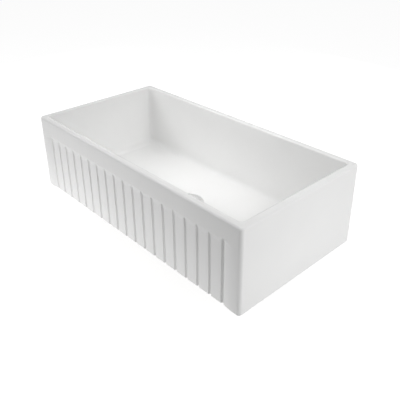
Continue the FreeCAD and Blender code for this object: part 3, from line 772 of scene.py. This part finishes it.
def locknut_shell():
    """A cast ring nut: a stepped ring whose outer radius rises to a lug eight times a turn.

    The lugs are a smooth step of the distance from each lug's middle. The bore has a thread.
    """
    outside = soft_profile(
        [
            (THREAD_BORE, LOCKNUT_HIGH - 2),
            (THREAD_BORE, LOCKNUT_HIGH, 0.5),
            (LOCKNUT_BODY, LOCKNUT_HIGH, 0.8),
            (LOCKNUT_BODY, LOCKNUT_LOW + 4, 0.8),
            (LOCKNUT_NECK, LOCKNUT_LOW + 4, 1.2),
            (LOCKNUT_NECK, LOCKNUT_LOW, 1),
            (THREAD_BORE, LOCKNUT_LOW, 0.5),
            (THREAD_BORE, LOCKNUT_LOW + 2),
        ],
        closed=False,
    )
    bore = straight_rows(THREAD_BORE, LOCKNUT_LOW + 2.3, LOCKNUT_HIGH - 2.3)
    profile = np.vstack([outside, bore])

    def raise_lugs(r, z, angle):
        sector = TAU / LUG_COUNT
        off = np.abs((angle + sector / 2) % sector - sector / 2) * LUG_CIRCLE
        lug = smooth_step((5.6 - off) / 1.6) * smooth_step((r - 45) / 1.5)
        cut = thread_cut(z, angle, LOCKNUT_LOW, LOCKNUT_HIGH)
        return r + (LUG_RADIUS - r) * lug + (r < THREAD_BORE + 0.01) * cut

    return turned_ring(profile, 320, raise_lugs)


def tailpiece_shell():
    """The drawn tube with its flange."""
    return turned_ring(soft_profile([
        (TUBE_BORE, TAIL_END, 0.5),
        (TUBE_RADIUS, TAIL_END, 0.6),
        (TUBE_RADIUS, TAIL_TOP - 1.5, 0.5),
        (23, TAIL_TOP - 1.5, 0.6),
        (23, TAIL_TOP, 0.6),
        (TUBE_BORE, TAIL_TOP, 1.2),
    ]))


def coupling_nut_shell():
    """The hexagon slip nut, with a thread in its bore above an inner lip.

    A hexagon's radius at an angle from the middle of a flat is f / cos(angle). It is cut by a
    cone of slope 2 at each end, and held under a circle that rounds off the corners.
    """
    down = np.concatenate([[0, 0.12], np.linspace(0.3, 2.4, 8), [3.5]])
    sides = np.concatenate([COUPLING_HIGH - down, COUPLING_LOW + down[::-1]])
    lip_top = COUPLING_LOW + 3
    bore = OUTLET_RADIUS + 0.1
    inside = soft_profile(
        [
            (COUPLING_FLAT - 0.6, COUPLING_LOW),
            (TUBE_RADIUS + 0.9, COUPLING_LOW, 0.6),
            (TUBE_RADIUS + 0.9, lip_top, 0.5),
            (bore, lip_top, 0.4),
            (bore, lip_top + 1),
        ],
        closed=False,
    )
    mouth = soft_profile(
        [(bore, COUPLING_HIGH - 2), (bore, COUPLING_HIGH, 0.8), (COUPLING_MOUTH, COUPLING_HIGH)],
        closed=False,
    )
    profile = np.vstack([
        np.column_stack([np.full(len(sides), COUPLING_FLAT), sides]),
        inside,
        straight_rows(bore, lip_top + 1.3, COUPLING_HIGH - 2.3),
        mouth,
    ])

    def cut_hexagon(r, z, angle):
        sector = TAU / 6
        flat = COUPLING_FLAT / np.cos(angle % sector - sector / 2)
        from_end = np.minimum(COUPLING_HIGH - z, z - COUPLING_LOW)
        outer = np.minimum(np.minimum(flat, COUPLING_FLAT + 2 * from_end - 0.1), COUPLING_CORNER)
        thread = (np.abs(r - bore) < 0.01) * thread_cut(z, angle, lip_top, COUPLING_HIGH)
        return np.where(r == COUPLING_FLAT, outer, r + thread)

    return turned_ring(profile, 240, cut_hexagon)


# ---------------------------------------------------------------------------------------------
# The basket
# ---------------------------------------------------------------------------------------------
def post_shell():
    """The post: a pointed foot, the groove where the catch ring grips, and the stopper's disc."""
    disc_low = STOPPER_LOW + 1.7
    top = (KNOB_LOW + KNOB_HIGH) / 2
    return turned_solid(
        soft_profile(
            [
                (0, STOPPER_LOW - 10),
                (1.6, STOPPER_LOW - 10, 0.6),
                (POST_RADIUS, STOPPER_LOW - 8.9, 0.5),
                (POST_RADIUS, STOPPER_LOW - 8.4),
                (2.8, STOPPER_LOW - 8.1),
                (2.8, STOPPER_LOW - 7.4),
                (POST_RADIUS, STOPPER_LOW - 7.1),
                (POST_RADIUS, disc_low),
                (13, disc_low, 0.3),
                (13, disc_low + 1.6, 0.3),
                (POST_RADIUS, disc_low + 1.6),
                (POST_RADIUS, top),
                (0, top),
            ],
            closed=False,
        ),
        64,
    )


def stopper_shell():
    """The rubber stopper: a sealing edge below, two fine ribs round it, and the disc's groove."""
    return turned_ring(
        soft_profile([
            (3.25, STOPPER_LOW, 0.3),
            (16, STOPPER_LOW, 0.5),
            (17, STOPPER_LOW + 0.6, 0.5),
            (21, STOPPER_LOW + 0.6, 0.5),
            (22, STOPPER_LOW, 0.5),
            (23.3, STOPPER_LOW, 0.4),
            (25, STOPPER_LOW + 1.7, 0.6),
            (24.6, STOPPER_LOW + 2.5, 0.4),
            (25, STOPPER_LOW + 3.3, 0.6),
            (24.1, STOPPER_HIGH, 0.6),
            (11.35, STOPPER_HIGH, 0.4),
            (11.35, STOPPER_LOW + 3.35),
            (13.05, STOPPER_LOW + 3.35),
            (13.05, STOPPER_LOW + 1.65),
            (3.25, STOPPER_LOW + 1.65),
        ]),
        140,
    )


def tile_border(across, up):
    """Points round the border of a tile from -1 to 1 each way, with so many steps on its sides."""
    bottom = np.linspace(-1, 1, across, endpoint=False)
    side = np.linspace(-1, 1, up, endpoint=False)
    a = np.concatenate([bottom, np.ones(up), -bottom, -np.ones(up)])
    b = np.concatenate([-np.ones(across), side, np.ones(across), -side])
    return a, b


def round_hole(a, b):
    """The edge of a round hole beside each point of a tile's border."""
    angle = np.arctan2(b, a)
    return HOLE_SIZE * np.cos(angle), HOLE_SIZE * np.sin(angle)


def long_slot(a, b):
    """The edge of a slot with round ends beside each point of a tile's border."""
    straight = SLOT_HALF_HEIGHT - SLOT_HALF_WIDTH
    angle = TAU / 4 * (1 - a)
    at_end = np.abs(b) > 1 - 1e-9
    x = SLOT_HALF_WIDTH * np.where(at_end, np.cos(angle), a)
    y = np.where(at_end, np.sign(b) * (straight + SLOT_HALF_WIDTH * np.sin(angle)), straight * b)
    return x, y


def pierced_band(count, up, low, high, radius, hole):
    """One turn of tiles between two distances along the cup's section, each with a hole.

    Rings of points in each tile run from the hole's edge to the tile's border. A point is
    (angle, distance along the section), and the hole's width is true at the given radius.
    """
    a, b = tile_border(CUP_COLUMNS // count, up)
    hole_x, hole_y = hole(a, b)
    half_angle = TAU / count / 2
    share = np.array([0, 0.22, 0.55, 1])[:, None]
    angle = share * a * half_angle + (1 - share) * hole_x / radius
    along = share * b * (high - low) / 2 + (1 - share) * hole_y + (low + high) / 2
    tile = np.stack([angle, along], axis=2).reshape(1, -1, 2)
    turns = (2 * np.arange(count) + 1) * half_angle
    points = tile + np.stack([turns, 0 * turns], axis=1)[:, None]
    numbers = (np.arange(count) * tile.shape[1])[:, None, None]
    faces = grid_faces(len(share), len(a))[None] + numbers
    return points.reshape(-1, 2), faces.reshape(-1, 4)


def plain_band(distances):
    """One turn of plain rows at distances along the cup's section."""
    angle = np.arange(CUP_COLUMNS) * TAU / CUP_COLUMNS
    points = np.stack(np.meshgrid(angle, distances), axis=2)
    faces = grid_faces(len(distances), CUP_COLUMNS)
    return points.reshape(-1, 2), faces


def cup_shells():
    """The perforated cup: a sheet of pierced and plain bands, given a wall, with a rolled edge.

    The sheet's two faces are the section's line and the same line moved in by the wall along
    its normal. Edges that only one face of the sheet uses are joined from face to face.
    """
    line = soft_profile(
        [(CUP_BORE, CUP_LOW), (CUP_FOOT, CUP_LOW, 3), (CUP_MOUTH, CUP_LOW + CUP_WALL_TOP)],
        closed=False,
        steps=12,
    )
    distance = np.concatenate([[0], np.cumsum(np.linalg.norm(np.diff(line, axis=0), axis=1))])
    inner_low, inner_high = INNER_CIRCLE - CUP_BORE - 3.5, INNER_CIRCLE - CUP_BORE + 3.5
    outer_low, outer_high = OUTER_CIRCLE - CUP_BORE - 3.5, OUTER_CIRCLE - CUP_BORE + 3
    slots_from = np.interp(CUP_LOW + 8, line[:, 1], distance)
    slots_to = slots_from + SLOT_BAND
    bands = [
        plain_band([0, 2.5, inner_low]),
        pierced_band(INNER_HOLES, 8, inner_low, inner_high, INNER_CIRCLE, round_hole),
        plain_band([inner_high, outer_low]),
        pierced_band(OUTER_HOLES, 8, outer_low, outer_high, OUTER_CIRCLE, round_hole),
        plain_band(np.linspace(outer_high, slots_from, 18)),
        pierced_band(SLOT_COUNT, 16, slots_from, slots_to, (CUP_FOOT + CUP_MOUTH) / 2, long_slot),
        plain_band(np.linspace(slots_to, distance[-1], 3)),
    ]
    firsts = np.cumsum([0] + [len(points) for points, _ in bands[:-1]])
    places = np.vstack([points for points, _ in bands])
    faces = np.vstack([quads + first for (_, quads), first in zip(bands, firsts)])
    keys = np.column_stack([np.cos(places[:, 0]), np.sin(places[:, 0]), places[:, 1]])
    _, kept, number = np.unique(np.round(keys, 4), axis=0, return_index=True, return_inverse=True)
    angle, along = places[kept].T
    faces = number.ravel()[faces]

    tangent = np.gradient(line, distance, axis=0)
    tangent = tangent / np.linalg.norm(tangent, axis=1)[:, None]
    inner_line = line + np.column_stack([-tangent[:, 1], tangent[:, 0]]) * CUP_WALL

    def carried(section):
        r = np.interp(along, distance, section[:, 0])
        z = np.interp(along, distance, section[:, 1])
        return np.column_stack([r * np.cos(angle), r * np.sin(angle), z])

    count = len(angle)
    edges = np.stack([faces, np.roll(faces, -1, axis=1)], axis=2).reshape(-1, 2)
    ordered = np.sort(edges, axis=1)
    _, first, uses = np.unique(ordered, axis=0, return_index=True, return_counts=True)
    a, b = edges[first[uses == 1]].T
    walls = np.stack([b, a, a + count, b + count], axis=1)
    both_faces = np.vstack([carried(line), carried(inner_line)])
    sheet = both_faces, np.vstack([faces, faces[:, ::-1] + count, walls])
    turn = np.linspace(0, TAU, 20, endpoint=False)
    bead = np.column_stack([38.0 + 1.1 * np.cos(turn), CUP_HIGH - 1.1 + 1.1 * np.sin(turn)])
    return [sheet, turned_ring(bead, 160)]


def knob_shell():
    """The turned knob: a foot, a waist drawn in, and a head with a shallow dish in its top."""
    neck = KNOB_HIGH - 11
    return turned_solid(
        soft_profile(
            [
                (0, KNOB_LOW),
                (8.25, KNOB_LOW, 0.6),
                (8.25, KNOB_LOW + 2, 0.8),
                (6.4, KNOB_LOW + 4.4, 2),
                (5.5, -9, 8),
                (5.4, neck - 4, 3),
                (7.5, neck, 2),
                (12, neck + 1, 1.6),
                (12, KNOB_HIGH - 2.6, 3),
                (9.6, KNOB_HIGH, 1.8),
                (6, KNOB_HIGH - 0.7, 2),
                (0, KNOB_HIGH - 0.9),
            ],
            closed=False,
            steps=9,
        ),
        120,
    )


# ---------------------------------------------------------------------------------------------
# The camera, the light and the stage
# ---------------------------------------------------------------------------------------------
def make_camera():
    """The camera at the photograph's angle: turned about the upright axis, raised, and rolled."""
    azimuth, elevation, roll = (math.radians(angle) for angle in CAMERA_ANGLES)
    back = Vector((
        math.sin(azimuth) * math.cos(elevation),
        -math.cos(azimuth) * math.cos(elevation),
        math.sin(elevation),
    ))
    data = bpy.data.cameras.new("camera")
    data.sensor_width = SENSOR_WIDTH
    data.lens = SENSOR_WIDTH * FOCAL_LENGTH_PIXELS / PHOTO_WIDTH_PIXELS
    data.shift_y = CAMERA_SHIFT_UP
    camera = bpy.data.objects.new("camera", data)
    turn = (-back).to_track_quat("-Z", "Y").to_matrix() @ Matrix.Rotation(roll, 3, "Z")
    place = Vector(CAMERA_TARGET) + back * CAMERA_DISTANCE
    camera.matrix_world = Matrix.Translation(place) @ turn.to_4x4()
    bpy.context.scene.collection.objects.link(camera)
    bpy.context.scene.camera = camera


def make_lamp(name, place, target, size, power, spread=180):
    """A soft rectangular light that faces its target, itself unseen and unmirrored."""
    data = bpy.data.lights.new(name, "AREA")
    data.shape = "RECTANGLE"
    data.size, data.size_y = size
    data.energy = power
    data.spread = math.radians(spread)
    lamp = bpy.data.objects.new(name, data)
    lamp.location = place
    lamp.visible_camera = False
    lamp.visible_glossy = False
    lamp.rotation_euler = (Vector(target) - Vector(place)).to_track_quat("-Z", "Y").to_euler()
    bpy.context.scene.collection.objects.link(lamp)


def seen_directly(tree):
    """1 for camera, glossy and transmission rays, and 0 for the rays that carry plain light."""
    path = tree.nodes.new("ShaderNodeLightPath")
    total = path.outputs["Is Camera Ray"]
    for name in ("Is Glossy Ray", "Is Transmission Ray"):
        add = tree.nodes.new("ShaderNodeMath")
        add.operation = "MAXIMUM"
        tree.links.new(total, add.inputs[0])
        tree.links.new(path.outputs[name], add.inputs[1])
        total = add.outputs[0]
    return total


def make_world(strength):
    """A white surround: full white where it is seen, and a plain level of light on the object."""
    world = bpy.data.worlds.new("studio")
    bpy.context.scene.world = world
    world.use_nodes = True
    tree = world.node_tree
    background = tree.nodes["Background"]
    background.inputs["Color"].default_value = (1, 1, 1, 1)
    mix = tree.nodes.new("ShaderNodeMapRange")
    mix.inputs["To Min"].default_value = strength
    mix.inputs["To Max"].default_value = 1.0
    tree.links.new(seen_directly(tree), mix.inputs["Value"])
    tree.links.new(mix.outputs["Result"], background.inputs["Strength"])


def make_floor(height):
    """A wide pale floor that shows white and keeps the sink's soft shadow."""
    mesh = bpy.data.meshes.new("floor")
    reach = 12.0
    corners = [(x * reach, y * reach, height) for x, y in ((-1, -1), (1, -1), (1, 1), (-1, 1))]
    mesh.from_pydata(corners, [], [(0, 1, 2, 3)])
    floor = bpy.data.objects.new("floor", mesh)
    bpy.context.scene.collection.objects.link(floor)
    material = bpy.data.materials.new("pale_floor")
    material.use_nodes = True
    tree = material.node_tree
    shader = tree.nodes["Principled BSDF"]
    shader.inputs["Base Color"].default_value = (0.25, 0.25, 0.25, 1)
    shader.inputs["Roughness"].default_value = 1
    shader.inputs["Specular IOR Level"].default_value = 0
    shader.inputs["Emission Color"].default_value = (1, 1, 1, 1)
    glow = tree.nodes.new("ShaderNodeMapRange")
    glow.inputs["To Min"].default_value = 0
    glow.inputs["To Max"].default_value = 0.9
    tree.links.new(seen_directly(tree), glow.inputs["Value"])
    tree.links.new(glow.outputs["Result"], shader.inputs["Emission Strength"])
    mesh.materials.append(material)


make_camera()

glaze = white_glaze()
steel = brushed_stainless()
chrome = bright_chrome()
brass = cast_brass()
rubber = black_rubber()
foam = grey_foam()
fibre = pressed_fibre()
polythene = white_polythene()

flange_seal = flat_ring(HOLE_RADIUS, 55.65, SEAT_HEIGHT, FLANGE_UNDERSIDE, 0.5)
clamp_rubber = flat_ring(THREAD_BORE, 54, -3, 0, 0.8)
clamp_fibre = flat_ring(THREAD_BORE, 54, LOCKNUT_HIGH, -3, 0.2)
tail_seal = flat_ring(TUBE_BORE, 23, TAIL_TOP, OUTLET_END, 0.4)

make_piece(
    "fireclay_body", [fireclay_skin()], glaze,
    "sink", "sink_body", sharp_angle=80,
)
make_piece("flange_seal", [flange_seal], foam, "sink", "flange_gasket")
make_piece("strainer", strainer_shells(), steel, "sink", "strainer_body")
make_piece("spring_catch", [catch_ring_shell()], steel, "sink", "catch_ring")
make_piece("clamp_rubber", [clamp_rubber], rubber, "sink", "rubber_washer")
make_piece("clamp_fibre", [clamp_fibre], fibre, "sink", "friction_ring")
make_piece("ring_nut", [locknut_shell()], brass, "sink", "locknut")
make_piece("tail_seal", [tail_seal], polythene, "sink", "tailpiece_washer")
make_piece("tail_tube", [tailpiece_shell()], chrome, "sink", "tailpiece")
make_piece(
    "slip_nut", [coupling_nut_shell()], chrome,
    "sink", "coupling_nut", sharp_angle=25,
)
make_piece("lift_post", [post_shell()], steel, "stopper_set", "basket_post")
make_piece(
    "rubber_stopper", [stopper_shell()], rubber,
    "stopper_set", "basket_stopper",
)
make_piece("lift_knob", [knob_shell()], chrome, "stopper_set", "basket_knob")
make_piece(
    "strainer_cup", cup_shells(), steel,
    "basket", "basket_cup", sharp_angle=40,
)

make_world(0.234)
make_floor(CAD_BOX[0][2] - 1 * MM)
make_lamp("top_back", (0, 0.9, 2.1), (0, 0, 0), (2.2, 1.0), 4.1)
make_lamp("right_high", (2.2, 0, 1.6), (0, 0, 0.1), (1.4, 1.4), 28.6)
make_lamp("front_left_high", (-1.7, -1.7, 1.7), (0, 0, 0.1), (1.4, 1.4), 25.5)
make_lamp("over_basin", (-0.02, 0, 1.3), (-0.02, 0.03, 0), (0.7, 0.25), 0.242, spread=34)
make_lamp("back_wall", (0.1, -1.2, 2.0), (0.05, 0.28, 0.2), (0.9, 0.3), 0.35, spread=32)
make_lamp("behind_low", (0.1, 2.3, 0.08), (0, 0, 0.08), (1.8, 0.25), 10)
make_lamp("left_low", (-2.5, 0.1, 0.08), (0, 0, 0.08), (1.4, 0.25), 7)
make_lamp("floor_left", (-0.42, -0.42, -0.15), (-0.42, -0.42, 1), (0.6, 0.3), 1.14)
make_lamp("floor_front", (0.15, -0.45, -0.15), (0.15, -0.45, 1), (0.6, 0.3), 0.83)
make_lamp("floor_right", (0.95, 0.1, -0.15), (0.95, 0.1, 1), (0.7, 0.9), 2.34)
bpy.context.scene.view_settings.view_transform = "Standard"
